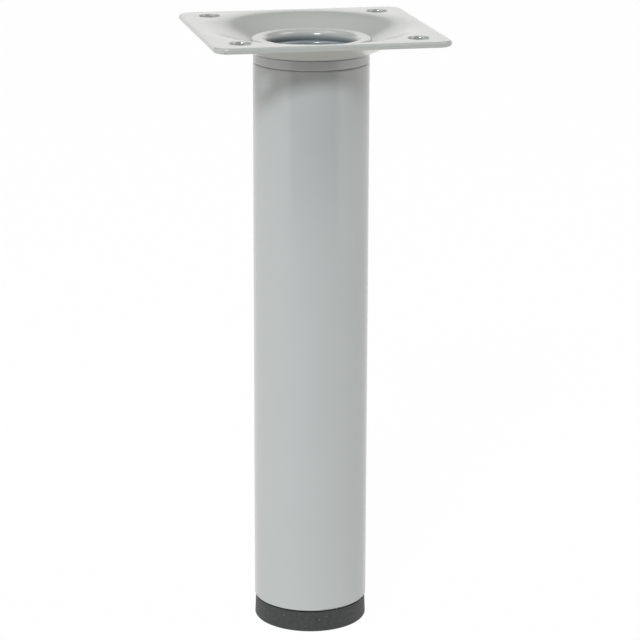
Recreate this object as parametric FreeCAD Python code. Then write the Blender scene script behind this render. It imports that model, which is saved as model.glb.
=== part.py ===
import FreeCAD, Part
import math
import os

# Height-adjustable furniture leg: a dished mounting plate riveted to a round tube, with a levelling
# foot that screws out of the tube's lower end. Millimetres, +Z up, origin on the floor under the axis.

# Driving dimensions of the whole leg
leg_height = 160.0          # floor to the plate's top face, with the foot screwed right in
tube_diameter = 30.0
tube_wall = 1.5
tube_end_rounding = 0.5     # paint-rounded outer edge at both ends of the tube

# Mounting plate, pressed from sheet
plate_size = 60.0
plate_sheet = 1.5
plate_corner_radius = 4.0
plate_edge_rounding = 0.6
rim_land = 0.7              # flat land between the dish and the middle of each side
bend_fullness = 0.82        # 1 would leave no straight wall between the two bends of the dish
rim_bend_share = 0.7        # the rim's share of the two bend radii, added up
dish_depth = 4.9
dish_floor_margin = 1.25    # flat dish floor round the sleeve's neck
screw_inset = 7.5           # hole centre to the plate's edge
screw_hole_diameter = 5.3
screw_hole_rounding = 0.45

# Connector sleeve, rolled over the dish floor like a hollow rivet
sleeve_wall = 1.5
sleeve_shoulder = 0.7       # the skirt is this much wider than the neck, all round
skirt_length = 25.0
lip_reach = 2.7             # how far the lip overhangs the neck
lip_height = 2.2
lip_edge = 1.4              # thickness of the lip at its outer edge
lip_edge_under = 60.0       # degrees that the outer edge is rounded below level
roll_radius = 1.6           # rounding from the lip's top into the throat
roll_under = 50.0           # degrees that this rounding turns back under itself
roll_inset = 0.2            # the roll's narrowest place is this much wider than the throat, all round

# Spacer ring
ring_height = 2.5
ring_edge_rounding = 0.3

# Levelling foot
foot_height = 5.6
foot_gap = 0.3              # between the foot and the tube, screwed right in
foot_inset = 0.3            # the foot's top edge lies this far inside the tube's outline
foot_draft = 0.2            # how much the radius grows towards the floor
foot_edge_rounding = 0.5
foot_floor = 1.5            # plastic under the bolt's head
foot_recess_width = 3.0     # flat ring that stands on the floor
foot_recess_depth = 0.6

# Levelling bolt and its nut
bolt_diameter = 10.0
bolt_tip_chamfer = 1.0
hexagon_across_flats = 17.0
hexagon_chamfer_angle = 30.0
head_height = 4.0
nut_height = 8.4
screw_travel = 20.0
thread_reserve = 4.0        # bolt left above the nut when the foot is screwed right out

# Plastic insert that holds the nut
insert_length = 22.0
insert_recess = 1.0         # from the tube's lower end to the insert
nut_recess = 0.6            # from the insert's underside to the nut
insert_rib_height = 1.0
insert_rib_pitch = 4.0
insert_rib_width = 1.6

# Fits
running_clearance = 0.05    # radial, between pieces that turn or slide on each other
assembly_clearance = 0.1    # radial, between pieces that are slipped together and then fixed

# Radii and heights that follow from the driving dimensions
tube_radius = tube_diameter / 2
tube_bore_radius = tube_radius - tube_wall
neck_radius = tube_bore_radius - sleeve_shoulder
throat_radius = neck_radius - sleeve_wall
lip_radius = neck_radius + lip_reach
bolt_radius = bolt_diameter / 2
hexagon_corner_radius = hexagon_across_flats / 2 / math.cos(math.radians(30))

tube_bottom = foot_height + foot_gap
plate_top = leg_height
dish_floor_top = plate_top - dish_depth
dish_floor_under = dish_floor_top - plate_sheet
ring_bottom = dish_floor_under - ring_height
tube_top = ring_bottom
lip_top = dish_floor_top + lip_height

head_bottom = foot_floor + running_clearance
head_top = head_bottom + head_height
insert_bottom = tube_bottom + insert_recess
insert_top = insert_bottom + insert_length
nut_bottom = insert_bottom + nut_recess
nut_top = nut_bottom + nut_height
bolt_tip = nut_top + screw_travel + thread_reserve


def at(radius, height):
    """A point of a turned section, in the XZ plane."""
    return FreeCAD.Vector(radius, 0, height)


def on_arc(centre, radius, degrees):
    """A point on an arc of a turned section, with the angle counted from +X towards +Z."""
    turn = math.radians(degrees)
    return centre + FreeCAD.Vector(radius * math.cos(turn), 0, radius * math.sin(turn))


def arc(centre, radius, start, end):
    """An arc of a turned section, from one angle to another."""
    middle = on_arc(centre, radius, (start + end) / 2)
    return Part.Arc(on_arc(centre, radius, start), middle, on_arc(centre, radius, end)).toShape()


def section(*pieces):
    """A closed section from points and arcs in order, with straight lines wherever two don't meet."""
    edges = []
    first = None
    last = None
    for piece in pieces:
        is_point = isinstance(piece, FreeCAD.Vector)
        start = piece if is_point else piece.Vertexes[0].Point
        if last is not None and not last.isEqual(start, 1e-7):
            edges.append(Part.LineSegment(last, start).toShape())
        if not is_point:
            edges.append(piece)
        if first is None:
            first = start
        last = start if is_point else piece.Vertexes[-1].Point
    if not last.isEqual(first, 1e-7):
        edges.append(Part.LineSegment(last, first).toShape())
    return Part.Face(Part.Wire(edges))


def turned(face):
    """A section turned once round the leg's axis."""
    return face.revolve(FreeCAD.Vector(0, 0, 0), FreeCAD.Vector(0, 0, 1), 360)


def cylinder(radius, low, high, x=0, y=0):
    return Part.makeCylinder(radius, high - low, FreeCAD.Vector(x, y, low))


def hexagon(corner_radius, low, high):
    """A hexagonal prism about the leg's axis."""
    corners = []
    for index in range(7):
        turn = math.radians(60 * index)
        corners.append(FreeCAD.Vector(corner_radius * math.cos(turn), corner_radius * math.sin(turn), low))
    face = Part.Face(Part.makePolygon(corners))
    return face.extrude(FreeCAD.Vector(0, 0, high - low))


def hexagon_with_chamfers(low, high, chamfer_low, chamfer_high):
    """A nut's or bolt head's hexagon, with its corners turned off at the faces that are chamfered."""
    flat_radius = hexagon_across_flats / 2
    rise = (hexagon_corner_radius - flat_radius) * math.tan(math.radians(hexagon_chamfer_angle))
    low_radius = flat_radius if chamfer_low else hexagon_corner_radius
    high_radius = flat_radius if chamfer_high else hexagon_corner_radius
    outline = section(
        at(0, low),
        at(low_radius, low),
        at(hexagon_corner_radius, low + rise if chamfer_low else low),
        at(hexagon_corner_radius, high - rise if chamfer_high else high),
        at(high_radius, high),
        at(0, high),
    )
    return hexagon(hexagon_corner_radius, low, high).common(turned(outline))


def mounting_plate():
    """A square sheet pressed into a round dish, with a straight wall between two bends in section."""
    dish_outer_radius = plate_size / 2 - rim_land
    dish_floor_radius = neck_radius + dish_floor_margin
    wall_run = dish_outer_radius - dish_floor_radius
    largest_bends = (wall_run**2 + dish_depth**2) / (2 * dish_depth)
    bends = bend_fullness * largest_bends
    rim_bend = rim_bend_share * bends
    floor_bend = bends - rim_bend
    reach = math.hypot(wall_run, bends - dish_depth)
    bend_angle = math.degrees(math.asin(bends / reach) - math.atan2(bends - dish_depth, wall_run))
    half_sheet = plate_sheet / 2
    floor_centre = at(dish_floor_radius, dish_floor_top - half_sheet + floor_bend)
    rim_centre = at(dish_outer_radius, plate_top - half_sheet - rim_bend)
    hole_radius = neck_radius + assembly_clearance
    beyond_corner = plate_size
    sheet = turned(
        section(
            at(hole_radius, dish_floor_under),
            arc(floor_centre, floor_bend + half_sheet, -90, -90 + bend_angle),
            arc(rim_centre, rim_bend - half_sheet, 90 + bend_angle, 90),
            at(beyond_corner, plate_top - plate_sheet),
            at(beyond_corner, plate_top),
            arc(rim_centre, rim_bend + half_sheet, 90, 90 + bend_angle),
            arc(floor_centre, floor_bend - half_sheet, -90 + bend_angle, -90),
            at(hole_radius, dish_floor_top),
        )
    )
    blank = Part.makeBox(
        plate_size,
        plate_size,
        plate_top - dish_floor_under,
        FreeCAD.Vector(-plate_size / 2, -plate_size / 2, dish_floor_under),
    )
    corner_edges = [edge for edge in blank.Edges if edge.BoundBox.ZLength > plate_sheet]
    plate = sheet.common(blank.makeFillet(plate_corner_radius, corner_edges))
    outline_edges = []
    for edge in plate.Edges:
        middle = edge.valueAt((edge.FirstParameter + edge.LastParameter) / 2)
        is_level = edge.BoundBox.ZLength < 1e-6
        if is_level and math.hypot(middle.x, middle.y) > plate_size / 2 - rim_land / 2:
            outline_edges.append(edge)
    plate = plate.makeFillet(plate_edge_rounding, outline_edges)
    screw_offset = plate_size / 2 - screw_inset
    for x in (-screw_offset, screw_offset):
        for y in (-screw_offset, screw_offset):
            plate = plate.cut(screw_hole().translated(FreeCAD.Vector(x, y, 0)))
    return plate


def screw_hole():
    """What a screw hole takes out of the rim: a cylinder that flares at both faces of the sheet."""
    radius = screw_hole_diameter / 2
    rounding = screw_hole_rounding
    flare_radius = radius + rounding
    rim_under = plate_top - plate_sheet
    return turned(
        section(
            at(0, dish_floor_under),
            at(flare_radius, dish_floor_under),
            arc(at(flare_radius, rim_under + rounding), rounding, 270, 180),
            arc(at(flare_radius, plate_top - rounding), rounding, 180, 90),
            at(flare_radius, plate_top + rounding),
            at(0, plate_top + rounding),
        )
    )


def connector_sleeve():
    """A skirt inside the tube, a neck through the ring and the plate, and a lip rolled over the dish floor."""
    skirt_radius = tube_bore_radius - assembly_clearance
    edge_radius = lip_edge / 2
    edge_centre = at(lip_radius - edge_radius, lip_top - edge_radius)
    roll_centre = at(throat_radius + roll_inset + roll_radius, lip_top - roll_radius)
    roll_end = on_arc(roll_centre, roll_radius, 180 + roll_under)
    shoulder_radius = roll_end.x - throat_radius
    return turned(
        section(
            at(skirt_radius - sleeve_wall, tube_top - skirt_length),
            at(skirt_radius, tube_top - skirt_length),
            at(skirt_radius, tube_top),
            at(neck_radius, tube_top),
            at(neck_radius, dish_floor_top),
            at(neck_radius + dish_floor_margin, dish_floor_top),
            arc(edge_centre, edge_radius, -lip_edge_under, 90),
            arc(roll_centre, roll_radius, 90, 180 + roll_under),
            arc(at(roll_end.x, roll_end.z - shoulder_radius), shoulder_radius, 90, 180),
            at(throat_radius, tube_top - sleeve_wall),
            at(skirt_radius - sleeve_wall, tube_top - sleeve_wall - sleeve_shoulder),
        )
    )


def spacer_ring():
    """A plain turned ring that the tube's end and the plate bear on."""
    bore_radius = neck_radius + assembly_clearance
    rounding = ring_edge_rounding
    return turned(
        section(
            at(bore_radius, ring_bottom),
            arc(at(tube_radius - rounding, ring_bottom + rounding), rounding, -90, 0),
            arc(at(tube_radius - rounding, dish_floor_under - rounding), rounding, 0, 90),
            at(bore_radius, dish_floor_under),
        )
    )


def leg_tube():
    """A length of drawn tube, its outer edges rounded by the paint."""
    rounding = tube_end_rounding
    return turned(
        section(
            at(tube_bore_radius, tube_bottom),
            arc(at(tube_radius - rounding, tube_bottom + rounding), rounding, -90, 0),
            arc(at(tube_radius - rounding, tube_top - rounding), rounding, 0, 90),
            at(tube_bore_radius, tube_top),
        )
    )


def foot_insert():
    """A moulded plug with ribs round it that grip the tube, and a pocket for the nut in its underside."""
    grip_radius = tube_bore_radius
    core_radius = grip_radius - insert_rib_height
    plug = cylinder(core_radius, insert_bottom, insert_top)
    rib_count = int(insert_length / insert_rib_pitch)
    for index in range(rib_count):
        rib_low = insert_bottom + index * insert_rib_pitch
        plug = plug.fuse(cylinder(grip_radius, rib_low, rib_low + insert_rib_width))
    plug = plug.removeSplitter()
    pocket_corner = hexagon_corner_radius + assembly_clearance / math.cos(math.radians(30))
    plug = plug.cut(hexagon(pocket_corner, insert_bottom, nut_top))
    return plug.cut(cylinder(bolt_radius + foot_gap, insert_bottom, insert_top))


def insert_nut():
    """A hexagon nut, chamfered on both faces. Its thread is left plain, at the bolt's outside diameter."""
    body = hexagon_with_chamfers(nut_bottom, nut_top, True, True)
    return body.cut(cylinder(bolt_radius + running_clearance, nut_bottom, nut_top))


def levelling_bolt():
    """A low hexagon head with a shank that reaches up through the nut. Its thread is left plain."""
    head = hexagon_with_chamfers(head_bottom, head_top, True, False)
    shank = turned(
        section(
            at(0, head_bottom),
            at(bolt_radius, head_bottom),
            at(bolt_radius, bolt_tip - bolt_tip_chamfer),
            at(bolt_radius - bolt_tip_chamfer, bolt_tip),
            at(0, bolt_tip),
        )
    )
    return head.fuse(shank).removeSplitter()


def foot_pad():
    """A moulded disc with drafted sides, a round pocket for the bolt's head and a ring to stand on."""
    top_radius = tube_radius - foot_inset
    floor_radius = top_radius + foot_draft
    rounding = foot_edge_rounding
    recess_radius = floor_radius - foot_recess_width
    pocket_radius = hexagon_corner_radius + running_clearance
    return turned(
        section(
            at(0, foot_recess_depth),
            at(recess_radius, foot_recess_depth),
            at(recess_radius, 0),
            arc(at(floor_radius - rounding, rounding), rounding, -90, 0),
            at(top_radius, foot_height),
            at(pocket_radius, foot_height),
            at(pocket_radius, foot_floor),
            at(0, foot_floor),
        )
    )


os.makedirs("parts", exist_ok=True)
pieces = {
    "mounting_plate": mounting_plate(),
    "connector_sleeve": connector_sleeve(),
    "spacer_ring": spacer_ring(),
    "leg_tube": leg_tube(),
    "foot_insert": foot_insert(),
    "insert_nut": insert_nut(),
    "levelling_bolt": levelling_bolt(),
    "foot_pad": foot_pad(),
}
for name, shape in pieces.items():
    shape.exportStep("parts/" + name + ".step")
    print(name, "solids", len(shape.Solids), "valid", shape.isValid(), "volume", round(shape.Volume, 1))
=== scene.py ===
import bmesh
import bpy
import math
from mathutils import Matrix, Vector


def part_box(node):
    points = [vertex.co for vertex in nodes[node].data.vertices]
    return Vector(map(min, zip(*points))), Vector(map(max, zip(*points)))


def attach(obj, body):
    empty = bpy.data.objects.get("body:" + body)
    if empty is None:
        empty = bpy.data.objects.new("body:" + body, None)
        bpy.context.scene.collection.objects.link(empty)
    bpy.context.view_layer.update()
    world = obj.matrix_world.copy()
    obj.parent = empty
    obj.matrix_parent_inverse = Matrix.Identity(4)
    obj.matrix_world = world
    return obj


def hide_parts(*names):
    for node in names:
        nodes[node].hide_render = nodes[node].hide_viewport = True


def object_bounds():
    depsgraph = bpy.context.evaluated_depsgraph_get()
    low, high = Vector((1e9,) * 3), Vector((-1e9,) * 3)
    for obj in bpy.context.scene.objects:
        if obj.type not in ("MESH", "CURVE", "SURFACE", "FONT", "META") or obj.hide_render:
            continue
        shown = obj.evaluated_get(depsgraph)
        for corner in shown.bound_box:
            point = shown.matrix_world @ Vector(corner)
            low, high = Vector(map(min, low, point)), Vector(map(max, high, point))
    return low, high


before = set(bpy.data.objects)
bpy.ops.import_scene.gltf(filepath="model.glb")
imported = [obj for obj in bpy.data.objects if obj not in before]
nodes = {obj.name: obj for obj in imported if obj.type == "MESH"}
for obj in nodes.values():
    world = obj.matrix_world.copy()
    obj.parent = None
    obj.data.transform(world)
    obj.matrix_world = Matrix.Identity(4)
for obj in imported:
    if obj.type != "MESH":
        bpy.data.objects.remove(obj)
cad_low, cad_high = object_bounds()
MM = 0.001

# Leg tube: a length of welded steel tube, cut square and powder coated in light grey.
# It stands on the foot and carries the plate on its upper end, with a ring between the two.
TUBE_PAINT = "C1C1BF"
TUBE_PAINT_DARKER = "BDBDBB"
ORANGE_PEEL_MM = 1.6
ORANGE_PEEL_DEPTH_MM = 0.002
PAINT_CLOUD_MM = 22.0
PAINT_GLOSS = (0.15, 0.21)
PAINT_IOR = 1.56


def linear(hex_colour):
    """An sRGB hex colour as the linear colour that a shader takes."""
    parts = [int(hex_colour[i : i + 2], 16) / 255 for i in (0, 2, 4)]
    return tuple([c / 12.92 if c <= 0.04045 else ((c + 0.055) / 1.055) ** 2.4 for c in parts] + [1.0])


def add_node(tree, kind, inputs=(), **settings):
    """Adds a node with its settings, and gives each input a value or a link to another node's output."""
    node = tree.nodes.new(kind)
    for name, value in settings.items():
        setattr(node, name, value)
    for socket, value in dict(inputs).items():
        if isinstance(value, bpy.types.NodeSocket):
            tree.links.new(value, node.inputs[socket])
        else:
            node.inputs[socket].default_value = value
    return node


def new_material(name):
    material = bpy.data.materials.new(name)
    material.use_nodes = True
    material.node_tree.nodes.clear()
    return material, material.node_tree


def powder_coat(name, colour, darker, shade_and_scuff_places=(), bare=None):
    """Powder-coated steel: a film that flows as it cures, so it is glossy, with faint clouds and orange peel.

    Darker colours laid over the coat stand for painted shade in hollows and for rubbed places: each entry of
    the list pairs a colour with a function that gives its mask. Where bare steel glints, bare gives its
    share.
    """
    material, tree = new_material(name)
    place = add_node(tree, "ShaderNodeTexCoord").outputs["Object"]
    clouds = add_node(
        tree, "ShaderNodeTexNoise", {"Vector": place, "Scale": 1 / (PAINT_CLOUD_MM * MM), "Detail": 3.0}
    )
    tint = add_node(
        tree,
        "ShaderNodeMix",
        {"Factor": clouds.outputs["Fac"], "A": linear(darker), "B": linear(colour)},
        data_type="RGBA",
    )
    # Each colour laid on here is painted shade in a hollow, except the scuff colour, which is real wear.
    for steel, mask in shade_and_scuff_places:
        tint = add_node(
            tree,
            "ShaderNodeMix",
            {"Factor": mask(tree, place), "A": tint.outputs["Result"], "B": linear(steel)},
            data_type="RGBA",
        )
    gloss = add_node(
        tree,
        "ShaderNodeMapRange",
        {"Value": clouds.outputs["Fac"], "To Min": PAINT_GLOSS[0], "To Max": PAINT_GLOSS[1]},
    )
    peel = add_node(
        tree, "ShaderNodeTexNoise", {"Vector": place, "Scale": 1 / (ORANGE_PEEL_MM * MM), "Detail": 1.0}
    )
    bump = add_node(
        tree,
        "ShaderNodeBump",
        {"Height": peel.outputs["Fac"], "Distance": ORANGE_PEEL_DEPTH_MM * MM, "Strength": 1.0},
    )
    coat = add_node(
        tree,
        "ShaderNodeBsdfPrincipled",
        {
            "Base Color": tint.outputs["Result"],
            "Roughness": gloss.outputs["Result"],
            "IOR": PAINT_IOR,
            "Normal": bump.outputs["Normal"],
        },
    )
    if bare is not None:
        tree.links.new(bare(tree, place), coat.inputs["Metallic"])
    add_node(tree, "ShaderNodeOutputMaterial", {"Surface": coat.outputs["BSDF"]})
    return material


def dress(node_name, material):
    """Gives a carried-over solid its finish."""
    slots = nodes[node_name].data.materials
    slots.clear()
    slots.append(material)


# The tube's bore gets a dark grey colour: painted shade for the dark inside of the tube.
TUBE_BORE_MM = 13.5
CUT_END_MM = (0.2, 0.6)
DEEP_PAINTED_SHADE = "4A4E50"


def within_bore(tree, place):
    """1 on the tube's inside, where the colour is darkened as painted shade, and 0 outside."""
    level = add_node(tree, "ShaderNodeVectorMath", {0: place, 1: (1, 1, 0)}, operation="MULTIPLY").outputs[0]
    out = add_node(tree, "ShaderNodeVectorMath", {0: level}, operation="LENGTH").outputs["Value"]
    inner, outer = [(TUBE_BORE_MM + width) * MM for width in CUT_END_MM]
    return add_node(tree, "ShaderNodeMapRange", {0: out, 1: inner, 2: outer, 3: 1.0, 4: 0.0}).outputs[0]


tube_coat = powder_coat("tube_powder_coat", TUBE_PAINT, TUBE_PAINT_DARKER, [(DEEP_PAINTED_SHADE, within_bore)])
dress("leg_tube", tube_coat)

# Spacer ring: a plain steel ring, turned from tube, that sits between the tube's end and the plate.
# It is coated with the tube, and a fine seam shows above and below it.
dress("spacer_ring", tube_coat)

# Connector sleeve: drawn steel, its skirt inside the tube and its neck rolled over the dish floor.
# It clamps the plate, and is coated with it in a grey slightly warmer than the tube's.
# Under the roll and down in the skirt the colour is darkened in two steps: painted shade in the throat.
PLATE_PAINT = "C2BFB9"
PLATE_PAINT_DARKER = "BEBBB5"
# Painted shade: a darker grey under the roll, and a dark grey down in the skirt.
ROLL_PAINTED_SHADE = "90979A"
UNDER_ROLL_MM = (156.9, 154.4)
DEEP_IN_SLEEVE_MM = (153.6, 150.0)


def under_the_roll(tree, place):
    """Rises from 0 on the rolled lip to 1 in the throat below it."""
    height = add_node(tree, "ShaderNodeSeparateXYZ", {0: place}).outputs["Z"]
    return add_node(
        tree, "ShaderNodeMapRange", {0: height, 1: UNDER_ROLL_MM[0] * MM, 2: UNDER_ROLL_MM[1] * MM}
    ).outputs[0]


def deep_in_sleeve(tree, place):
    """Rises from 0 in the throat to 1 down in the skirt."""
    height = add_node(tree, "ShaderNodeSeparateXYZ", {0: place}).outputs["Z"]
    return add_node(
        tree, "ShaderNodeMapRange", {0: height, 1: DEEP_IN_SLEEVE_MM[0] * MM, 2: DEEP_IN_SLEEVE_MM[1] * MM}
    ).outputs[0]


sleeve_coat = powder_coat(
    "sleeve_powder_coat",
    PLATE_PAINT,
    PLATE_PAINT_DARKER,
    [(ROLL_PAINTED_SHADE, under_the_roll), (DEEP_PAINTED_SHADE, deep_in_sleeve)],
)
dress("connector_sleeve", sleeve_coat)

# Mounting plate: steel sheet pressed into a dish, punched with a screw hole in each corner.
# It is powder coated, with painted shade and some bare steel on the walls of the holes, and a little rubbed
# in two places.
SCREW_OFFSET_MM = 22.5
SCREW_HOLE_MM = 2.65
HOLE_EDGE_MM = (0.1, 0.3)
# HOLE_WALL is painted shade: the walls of the holes get a darker colour. HOLE_BARE is the share of bare steel
# that glints there.
HOLE_WALL = "B8B7B3"
HOLE_BARE = 0.42
SCUFF = "9C9E9B"
SCUFFS_MM = [((-26.1, 22.2, 159.9), 0.9), ((-27.4, -29.6, 158.55), 0.9)]
SCUFF_CORE = 0.3
SCUFF_GRAIN_MM = 0.5
SCUFF_CONTRAST = (0.2, 0.55)


def hole_walls(tree, place):
    """1 on the walls of the four screw holes, and 0 on the plate's faces."""
    corner = add_node(tree, "ShaderNodeVectorMath", {0: place}, operation="ABSOLUTE").outputs[0]
    offset = (SCREW_OFFSET_MM * MM, SCREW_OFFSET_MM * MM, 0)
    apart = add_node(tree, "ShaderNodeVectorMath", {0: corner, 1: offset}, operation="SUBTRACT").outputs[0]
    level = add_node(tree, "ShaderNodeVectorMath", {0: apart, 1: (1, 1, 0)}, operation="MULTIPLY").outputs[0]
    out = add_node(tree, "ShaderNodeVectorMath", {0: level}, operation="LENGTH").outputs["Value"]
    inner, outer = [(SCREW_HOLE_MM + width) * MM for width in HOLE_EDGE_MM]
    return add_node(tree, "ShaderNodeMapRange", {0: out, 1: inner, 2: outer, 3: 1.0, 4: 0.0}).outputs[0]


def bare_edges(tree, place):
    """How much bare steel shows: some on the walls of the screw holes, and none elsewhere."""
    return add_node(tree, "ShaderNodeMapRange", {0: hole_walls(tree, place), 4: HOLE_BARE}).outputs[0]


def scuffs(tree, place):
    """Up to 1 in two rubbed places: beside the rear left hole, and under the front left corner."""
    rough = add_node(
        tree, "ShaderNodeTexNoise", {"Vector": place, "Scale": 1 / (SCUFF_GRAIN_MM * MM), "Detail": 2.0}
    ).outputs["Fac"]
    marks = None
    for spot, reach in SCUFFS_MM:
        centre = tuple(c * MM for c in spot)
        gap = add_node(tree, "ShaderNodeVectorMath", {0: place, 1: centre}, operation="DISTANCE")
        off = gap.outputs["Value"]
        core = SCUFF_CORE * reach * MM
        near = add_node(tree, "ShaderNodeMapRange", {0: off, 1: reach * MM, 2: core}).outputs[0]
        rubbed = add_node(tree, "ShaderNodeMath", {0: near, 1: rough}, operation="MULTIPLY").outputs[0]
        if marks is None:
            marks = rubbed
        else:
            marks = add_node(tree, "ShaderNodeMath", {0: marks, 1: rubbed}, operation="ADD").outputs[0]
    faint, strong = SCUFF_CONTRAST
    return add_node(tree, "ShaderNodeMapRange", {0: marks, 1: faint, 2: strong}).outputs[0]


plate_coat = powder_coat(
    "plate_powder_coat",
    PLATE_PAINT,
    PLATE_PAINT_DARKER,
    [(HOLE_WALL, hole_walls), (SCUFF, scuffs)],
    bare_edges,
)
dress("mounting_plate", plate_coat)

# Foot insert: a ribbed plug of black polypropylene, injection moulded and pressed into the tube's lower end.
# Its pocket holds the nut. The grain of its mould is drawn coarser than it is, so that it shows.
INSERT_PLASTIC = "2B2C2D"
INSERT_PLASTIC_DARKER = "282828"
INSERT_ROUGHNESS = 0.45
PLASTIC_IOR = 1.49
MOULD_GRAIN_MM = 0.9
MOULD_GRAIN_DEPTH_MM = 0.02
SPECK = "8C8C8A"
SPECK_SPACING_MM = 2.0
SPECK_MM = 0.16


def moulded_plastic(name, colour, second, roughness):
    """Injection-moulded plastic with the fine matt grain of a spark-eroded mould and a few light specks."""
    material, tree = new_material(name)
    place = add_node(tree, "ShaderNodeTexCoord").outputs["Object"]
    grain = add_node(
        tree, "ShaderNodeTexNoise", {"Vector": place, "Scale": 1 / (MOULD_GRAIN_MM * MM), "Detail": 2.0}
    )
    tint = add_node(
        tree,
        "ShaderNodeMix",
        {"Factor": grain.outputs["Fac"], "A": linear(colour), "B": linear(second)},
        data_type="RGBA",
    )
    cells = add_node(
        tree, "ShaderNodeTexVoronoi", {"Vector": place, "Scale": 1 / (SPECK_SPACING_MM * MM)}
    ).outputs["Distance"]
    size = SPECK_MM / SPECK_SPACING_MM
    dust = add_node(tree, "ShaderNodeMapRange", {0: cells, 1: size, 2: 0.5 * size}).outputs[0]
    tint = add_node(
        tree,
        "ShaderNodeMix",
        {"Factor": dust, "A": tint.outputs["Result"], "B": linear(SPECK)},
        data_type="RGBA",
    )
    bump = add_node(
        tree,
        "ShaderNodeBump",
        {"Height": grain.outputs["Fac"], "Distance": MOULD_GRAIN_DEPTH_MM * MM, "Strength": 1.0},
    )
    plastic = add_node(
        tree,
        "ShaderNodeBsdfPrincipled",
        {
            "Base Color": tint.outputs["Result"],
            "Roughness": roughness,
            "IOR": PLASTIC_IOR,
            "Normal": bump.outputs["Normal"],
        },
    )
    add_node(tree, "ShaderNodeOutputMaterial", {"Surface": plastic.outputs["BSDF"]})
    return material


insert_plastic = moulded_plastic(
    "black_polypropylene", INSERT_PLASTIC, INSERT_PLASTIC_DARKER, INSERT_ROUGHNESS
)
dress("foot_insert", insert_plastic)

# Insert nut: a standard hexagon nut, cold formed from steel and zinc plated.
# It is pushed into the insert's pocket, which keeps it from turning.
ZINC = "C9CCCB"
ZINC_DULL = "AEB3B5"
ZINC_SPANGLE_MM = 1.2
ZINC_SHEEN = (0.28, 0.42)


def zinc_plate(name):
    """Bright zinc plating: a metal with a slightly blue, uneven sheen."""
    material, tree = new_material(name)
    place = add_node(tree, "ShaderNodeTexCoord").outputs["Object"]
    spangle = add_node(
        tree, "ShaderNodeTexNoise", {"Vector": place, "Scale": 1 / (ZINC_SPANGLE_MM * MM), "Detail": 3.0}
    )
    tint = add_node(
        tree,
        "ShaderNodeMix",
        {"Factor": spangle.outputs["Fac"], "A": linear(ZINC_DULL), "B": linear(ZINC)},
        data_type="RGBA",
    )
    sheen = add_node(
        tree,
        "ShaderNodeMapRange",
        {"Value": spangle.outputs["Fac"], "To Min": ZINC_SHEEN[0], "To Max": ZINC_SHEEN[1]},
    )
    metal = add_node(
        tree,
        "ShaderNodeBsdfPrincipled",
        {"Base Color": tint.outputs["Result"], "Metallic": 1.0, "Roughness": sheen.outputs["Result"]},
    )
    add_node(tree, "ShaderNodeOutputMaterial", {"Surface": metal.outputs["BSDF"]})
    return material


zinc = zinc_plate("zinc_plated_steel")
dress("insert_nut", zinc)

# Levelling bolt: an M10 bolt with a low hexagon head, its thread rolled and then zinc plated.
# The head is held in the foot's pocket, and the shank reaches up through the nut into the tube.
HEAD_HEIGHT_MM = 4.0
THREAD_CREST_MM = 4.98
THREAD_ROOT_MM = 4.08
THREAD_PITCH_MM = 1.5
TIP_CHAMFER_MM = 1.0
ACROSS_FLATS_MM = 17.0
HEAD_CHAMFER_DEGREES = 30.0
ROOT_SHARE = 0.25
CREST_SHARE = 0.125
THREAD_COLUMNS = 72
THREAD_ROWS = 280
HEAD_ROWS = 14
MERGE_MM = 0.001
SHARP_DEGREES = 35
bolt_low, bolt_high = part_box("levelling_bolt")


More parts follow.
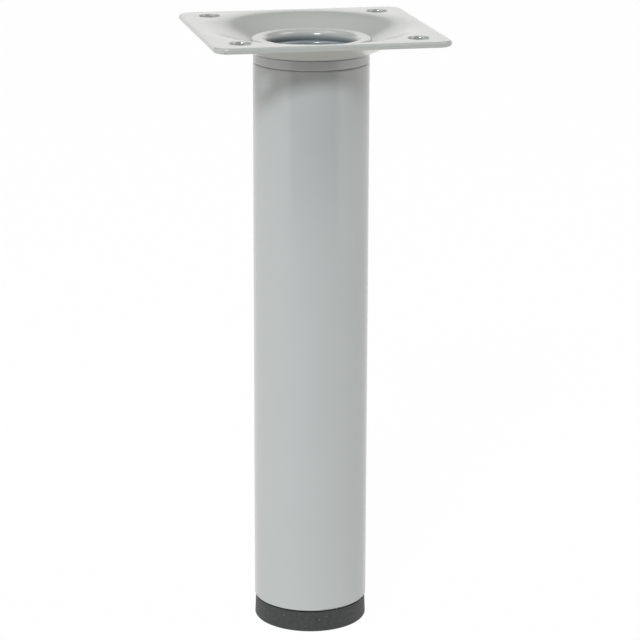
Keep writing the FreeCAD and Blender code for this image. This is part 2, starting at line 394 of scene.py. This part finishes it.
def turned_bolt(name):
    """Geometry Nodes that make a bolt: one sheet wrapped into a threaded shank, one into a chamfered head."""
    tree = bpy.data.node_groups.new(name, "GeometryNodeTree")
    sizes = {}
    for label, value in (
        ("Head Bottom", bolt_low.z),
        ("Head Top", bolt_low.z + HEAD_HEIGHT_MM * MM),
        ("Tip", bolt_high.z),
        ("Crest Radius", THREAD_CREST_MM * MM),
        ("Root Radius", THREAD_ROOT_MM * MM),
        ("Pitch", THREAD_PITCH_MM * MM),
        ("Tip Chamfer", TIP_CHAMFER_MM * MM),
        ("Half Across Flats", ACROSS_FLATS_MM / 2 * MM),
        ("Chamfer Slope", 1 / math.tan(math.radians(HEAD_CHAMFER_DEGREES))),
    ):
        socket = tree.interface.new_socket(label, in_out="INPUT", socket_type="NodeSocketFloat")
        sizes[socket.identifier] = value
    finish = tree.interface.new_socket("Finish", in_out="INPUT", socket_type="NodeSocketMaterial")
    sizes[finish.identifier] = zinc
    tree.interface.new_socket("Bolt", in_out="OUTPUT", socket_type="NodeSocketGeometry")
    given = add_node(tree, "NodeGroupInput").outputs
    spot = add_node(tree, "GeometryNodeInputPosition").outputs[0]
    across = add_node(tree, "ShaderNodeSeparateXYZ", {0: spot}).outputs
    turn = add_node(tree, "ShaderNodeMath", {0: across["X"], 1: math.tau}, operation="MULTIPLY").outputs[0]
    away = add_node(tree, "ShaderNodeMath", {0: across["Y"]}, operation="ABSOLUTE").outputs[0]
    parts = []
    for rows, low, high in ((THREAD_ROWS, "Head Bottom", "Tip"), (HEAD_ROWS, "Head Bottom", "Head Top")):
        step = 1 / (rows - 1)
        sheet = add_node(
            tree,
            "GeometryNodeMeshGrid",
            {"Size X": 1.0, "Size Y": 1.0, "Vertices X": THREAD_COLUMNS + 1, "Vertices Y": rows},
        )
        height = add_node(
            tree,
            "ShaderNodeMapRange",
            {0: across["Y"], 1: step - 0.5, 2: 0.5 - step, 3: given[low], 4: given[high]},
        ).outputs[0]
        if high == "Tip":
            threads = add_node(tree, "ShaderNodeMath", {0: height, 1: given["Pitch"]}, operation="DIVIDE")
            wound = add_node(
                tree, "ShaderNodeMath", {0: threads.outputs[0], 1: across["X"]}, operation="SUBTRACT"
            )
            cycle = add_node(tree, "ShaderNodeMath", {0: wound.outputs[0]}, operation="FRACT")
            zigzag = add_node(
                tree, "ShaderNodeMath", {0: cycle.outputs[0], 1: 2.0, 2: -1.0}, operation="MULTIPLY_ADD"
            )
            flank = add_node(tree, "ShaderNodeMath", {0: zigzag.outputs[0]}, operation="ABSOLUTE")
            form = add_node(
                tree,
                "ShaderNodeMapRange",
                {
                    0: flank.outputs[0],
                    1: ROOT_SHARE,
                    2: 1 - CREST_SHARE,
                    3: given["Root Radius"],
                    4: given["Crest Radius"],
                },
            ).outputs[0]
            left = add_node(tree, "ShaderNodeMath", {0: given["Tip"], 1: height}, operation="SUBTRACT")
            core = add_node(
                tree,
                "ShaderNodeMath",
                {0: given["Crest Radius"], 1: given["Tip Chamfer"]},
                operation="SUBTRACT",
            )
            limit = add_node(
                tree, "ShaderNodeMath", {0: core.outputs[0], 1: left.outputs[0]}, operation="ADD"
            ).outputs[0]
        else:
            sixth = add_node(
                tree, "ShaderNodeMath", {0: turn, 1: math.pi / 3, 2: 0.0}, operation="WRAP"
            )
            centred = add_node(
                tree, "ShaderNodeMath", {0: sixth.outputs[0], 1: math.pi / 6}, operation="SUBTRACT"
            )
            lean = add_node(tree, "ShaderNodeMath", {0: centred.outputs[0]}, operation="COSINE")
            form = add_node(
                tree,
                "ShaderNodeMath",
                {0: given["Half Across Flats"], 1: lean.outputs[0]},
                operation="DIVIDE",
            ).outputs[0]
            rise = add_node(
                tree, "ShaderNodeMath", {0: height, 1: given["Head Bottom"]}, operation="SUBTRACT"
            )
            limit = add_node(
                tree,
                "ShaderNodeMath",
                {0: rise.outputs[0], 1: given["Chamfer Slope"], 2: given["Half Across Flats"]},
                operation="MULTIPLY_ADD",
            ).outputs[0]
        radius = add_node(tree, "ShaderNodeMath", {0: form, 1: limit}, operation="MINIMUM").outputs[0]
        inside = add_node(
            tree, "ShaderNodeMath", {0: away, 1: 0.5 - step / 2}, operation="LESS_THAN"
        ).outputs[0]
        reach = add_node(tree, "ShaderNodeMath", {0: radius, 1: inside}, operation="MULTIPLY").outputs[0]
        flat = add_node(tree, "ShaderNodeCombineXYZ", {"X": reach, "Z": height}).outputs[0]
        wrapped = add_node(
            tree, "ShaderNodeVectorRotate", {"Vector": flat, "Angle": turn}, rotation_type="Z_AXIS"
        ).outputs[0]
        placed = add_node(
            tree, "GeometryNodeSetPosition", {"Geometry": sheet.outputs["Mesh"], "Position": wrapped}
        )
        parts.append(placed)
    joined = add_node(tree, "GeometryNodeJoinGeometry")
    for part in parts:
        tree.links.new(part.outputs[0], joined.inputs[0])
    real = add_node(tree, "GeometryNodeRealizeInstances", {"Geometry": joined.outputs[0]})
    coated = add_node(
        tree, "GeometryNodeSetMaterial", {"Geometry": real.outputs[0], "Material": given["Finish"]}
    )
    add_node(tree, "NodeGroupOutput", {"Bolt": coated.outputs[0]})
    return tree, sizes


bolt_tree, bolt_sizes = turned_bolt("turned_bolt")
bolt = bpy.data.objects.new("threaded_bolt", bpy.data.meshes.new("threaded_bolt"))
bpy.context.scene.collection.objects.link(bolt)
turning = bolt.modifiers.new("turning", "NODES")
turning.node_group = bolt_tree
for identifier, value in bolt_sizes.items():
    turning[identifier] = value
bpy.context.view_layer.update()
shape = bpy.data.meshes.new_from_object(bolt.evaluated_get(bpy.context.evaluated_depsgraph_get()))
bolt.modifiers.remove(turning)
closed = bmesh.new()
closed.from_mesh(shape)
bmesh.ops.remove_doubles(closed, verts=closed.verts, dist=MERGE_MM * MM)
bmesh.ops.dissolve_degenerate(closed, edges=closed.edges, dist=MERGE_MM * MM)
bmesh.ops.recalc_face_normals(closed, faces=closed.faces)
closed.to_mesh(shape)
closed.free()
shape.shade_smooth()
shape.set_sharp_from_angle(angle=math.radians(SHARP_DEGREES))
bolt.data = shape
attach(bolt, "bolt")
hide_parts("levelling_bolt")

# Foot pad: a charcoal disc of polypropylene, injection moulded with a fine matt grain.
# A pocket in it holds the bolt's head, so it turns with the bolt and sets the leg's height.
FOOT_PLASTIC = "282828"
FOOT_PLASTIC_LIGHTER = "464645"
FOOT_ROUGHNESS = 0.6
foot_plastic = moulded_plastic(
    "charcoal_polypropylene", FOOT_PLASTIC, FOOT_PLASTIC_LIGHTER, FOOT_ROUGHNESS
)
dress("foot_pad", foot_plastic)

# Studio: a white paper floor, clear to the eye but for a trace of shadow, so that the lowered foot shows.
# A compact lamp at the upper left gives the glints and the plate's shadow, and weaker ones fill the rest.
# The room in front of the leg is dim, and shows as a soft blue band down the tube.
BACKGROUND = "FFFFFF"
SURROUND_LIGHT = 0.5
FLOOR_PAPER = "F4F4F2"
FLOOR_SIZE = 12.0
FLOOR_LEVEL = -0.0001
FLOOR_CLEAR = 0.985
PAPER_GLOW = 0.5


def seen_directly(tree):
    """1 for rays that show the background itself or its reflection, and 0 for rays that gather light."""
    path = add_node(tree, "ShaderNodeLightPath").outputs
    first = add_node(
        tree, "ShaderNodeMath", {0: path["Is Camera Ray"], 1: path["Is Glossy Ray"]}, operation="MAXIMUM"
    )
    both = add_node(
        tree, "ShaderNodeMath", {0: first.outputs[0], 1: path["Is Transmission Ray"]}, operation="MAXIMUM"
    )
    return both.outputs[0]


world = bpy.data.worlds.new("white_surround")
world.use_nodes = True
bpy.context.scene.world = world
tree = world.node_tree
tree.nodes.clear()
shown = add_node(tree, "ShaderNodeBackground", {"Color": linear(BACKGROUND), "Strength": 1.0})
lighting = add_node(tree, "ShaderNodeBackground", {"Color": linear(BACKGROUND), "Strength": SURROUND_LIGHT})
surround = add_node(
    tree, "ShaderNodeMixShader", {0: seen_directly(tree), 1: lighting.outputs[0], 2: shown.outputs[0]}
)
add_node(tree, "ShaderNodeOutputWorld", {"Surface": surround.outputs[0]})

floor_material, tree = new_material("white_floor")
matt = add_node(tree, "ShaderNodeBsdfDiffuse", {"Color": linear(FLOOR_PAPER)})
glow = add_node(tree, "ShaderNodeEmission", {"Color": linear(BACKGROUND), "Strength": 1.0})
clear = add_node(tree, "ShaderNodeBsdfTransparent")
paper = add_node(tree, "ShaderNodeMixShader", {0: PAPER_GLOW, 1: matt.outputs[0], 2: glow.outputs[0]})
trace = add_node(tree, "ShaderNodeMixShader", {0: FLOOR_CLEAR, 1: matt.outputs[0], 2: clear.outputs[0]})
above = add_node(
    tree, "ShaderNodeMixShader", {0: seen_directly(tree), 1: paper.outputs[0], 2: trace.outputs[0]}
)
below = add_node(tree, "ShaderNodeNewGeometry").outputs["Backfacing"]
one_sided = add_node(tree, "ShaderNodeMixShader", {0: below, 1: above.outputs[0], 2: clear.outputs[0]})
add_node(tree, "ShaderNodeOutputMaterial", {"Surface": one_sided.outputs[0]})
floor_mesh = bpy.data.meshes.new("floor")
half = FLOOR_SIZE / 2
floor_mesh.from_pydata(
    [(x, y, FLOOR_LEVEL) for x, y in ((-half, -half), (half, -half), (half, half), (-half, half))],
    [],
    [(0, 1, 2, 3)],
)
floor_mesh.materials.append(floor_material)
floor = bpy.data.objects.new("floor", floor_mesh)
bpy.context.scene.collection.objects.link(floor)

ROOM_COLOUR = "262D33"
ROOM_RADIUS = 0.5
ROOM_FOOT = 0.001
ROOM_TOP = 0.4
ROOM_FROM = -53
ROOM_TO = 41
room_material, tree = new_material("dim_room")
dim = add_node(tree, "ShaderNodeEmission", {"Color": linear(ROOM_COLOUR), "Strength": 1.0})
add_node(tree, "ShaderNodeOutputMaterial", {"Surface": dim.outputs[0]})
corners = []
for degrees in range(ROOM_FROM, ROOM_TO + 1):
    turn = math.radians(degrees)
    x = ROOM_RADIUS * math.sin(turn)
    y = -ROOM_RADIUS * math.cos(turn)
    corners += [(x, y, ROOM_FOOT), (x, y, ROOM_TOP)]
strips = [(i, i + 1, i + 3, i + 2) for i in range(0, len(corners) - 2, 2)]
room_mesh = bpy.data.meshes.new("room")
room_mesh.from_pydata(corners, [], strips)
room_mesh.materials.append(room_material)
room = bpy.data.objects.new("room", room_mesh)
room.visible_camera = False
room.visible_shadow = False
bpy.context.scene.collection.objects.link(room)

CEILING_COLOUR = "5D6063"
CEILING_HEIGHT = 2.0
CEILING_SIZE = 7.6
ceiling_material, tree = new_material("dim_ceiling")
dim = add_node(tree, "ShaderNodeEmission", {"Color": linear(CEILING_COLOUR), "Strength": 1.0})
add_node(tree, "ShaderNodeOutputMaterial", {"Surface": dim.outputs[0]})
ceiling_mesh = bpy.data.meshes.new("ceiling")
half = CEILING_SIZE / 2
ceiling_mesh.from_pydata(
    [(x, y, CEILING_HEIGHT) for x, y in ((-half, -half), (-half, half), (half, half), (half, -half))],
    [],
    [(0, 1, 2, 3)],
)
ceiling_mesh.materials.append(ceiling_material)
ceiling = bpy.data.objects.new("ceiling", ceiling_mesh)
ceiling.visible_camera = False
ceiling.visible_shadow = False
bpy.context.scene.collection.objects.link(ceiling)


def softbox(name, azimuth, elevation, distance, width, height, watts, colour):
    """A flat lamp that faces the middle of the leg. Azimuth is counted from the front, to the right."""
    lamp = bpy.data.lights.new(name, "AREA")
    lamp.shape = "RECTANGLE"
    lamp.size = width
    lamp.size_y = height
    lamp.energy = watts
    lamp.color = linear(colour)[:3]
    box = bpy.data.objects.new(name, lamp)
    turn = math.radians(azimuth)
    rise = math.radians(elevation)
    towards = Vector((math.sin(turn) * math.cos(rise), -math.cos(turn) * math.cos(rise), math.sin(rise)))
    target = Vector((0, 0, cad_high.z / 2))
    box.location = target + towards * distance
    box.rotation_euler = (-towards).to_track_quat("-Z", "Y").to_euler()
    box.visible_camera = False
    bpy.context.scene.collection.objects.link(box)


softbox("key_softbox", -28, 35, 2.4, 0.4, 0.4, 32.0, "EFFCFF")
softbox("left_high", -80, 66, 1.4, 0.9, 0.4, 3.3, "FFFFFF")
softbox("left_strip", -72, 46, 1.4, 1.3, 0.08, 1.3, "FFFFFF")
softbox("right_fill", 75, 50, 1.4, 0.6, 0.6, 4.2, "FFFFFF")
softbox("back_glow", 168, 18, 1.6, 2.0, 0.7, 0.86, "FFFFFF")

# Camera: a long lens a little above the plate, turned slightly to the plate's left.
# Its place and angles were fitted to the tube's edges, the seams, the plate's outline and the holes.
CAMERA_AZIMUTH = -11.944
CAMERA_DISTANCE = 0.63406
CAMERA_HEIGHT = 0.26066
CAMERA_PITCH = 15.717
CAMERA_YAW = 0.221
CAMERA_ROLL = 0.185
FOCAL_PIXELS = 2500.0
FRAME_PIXELS = 640
SENSOR_MM = 36.0
CLIP_START = 0.01

lens = bpy.data.cameras.new("camera")
lens.sensor_width = SENSOR_MM
lens.lens = FOCAL_PIXELS / FRAME_PIXELS * SENSOR_MM
lens.clip_start = CLIP_START
camera = bpy.data.objects.new("camera", lens)
bpy.context.scene.collection.objects.link(camera)
bearing = math.radians(CAMERA_AZIMUTH)
spot = Vector((CAMERA_DISTANCE * math.sin(bearing), -CAMERA_DISTANCE * math.cos(bearing), CAMERA_HEIGHT))
heading = Matrix.Rotation(math.radians(CAMERA_AZIMUTH - CAMERA_YAW), 4, "Z")
tilt = Matrix.Rotation(math.radians(90 - CAMERA_PITCH), 4, "X")
roll = Matrix.Rotation(math.radians(CAMERA_ROLL), 4, "Z")
camera.matrix_world = Matrix.Translation(spot) @ heading @ tilt @ roll
bpy.context.scene.camera = camera
bpy.context.scene.view_settings.view_transform = "Standard"
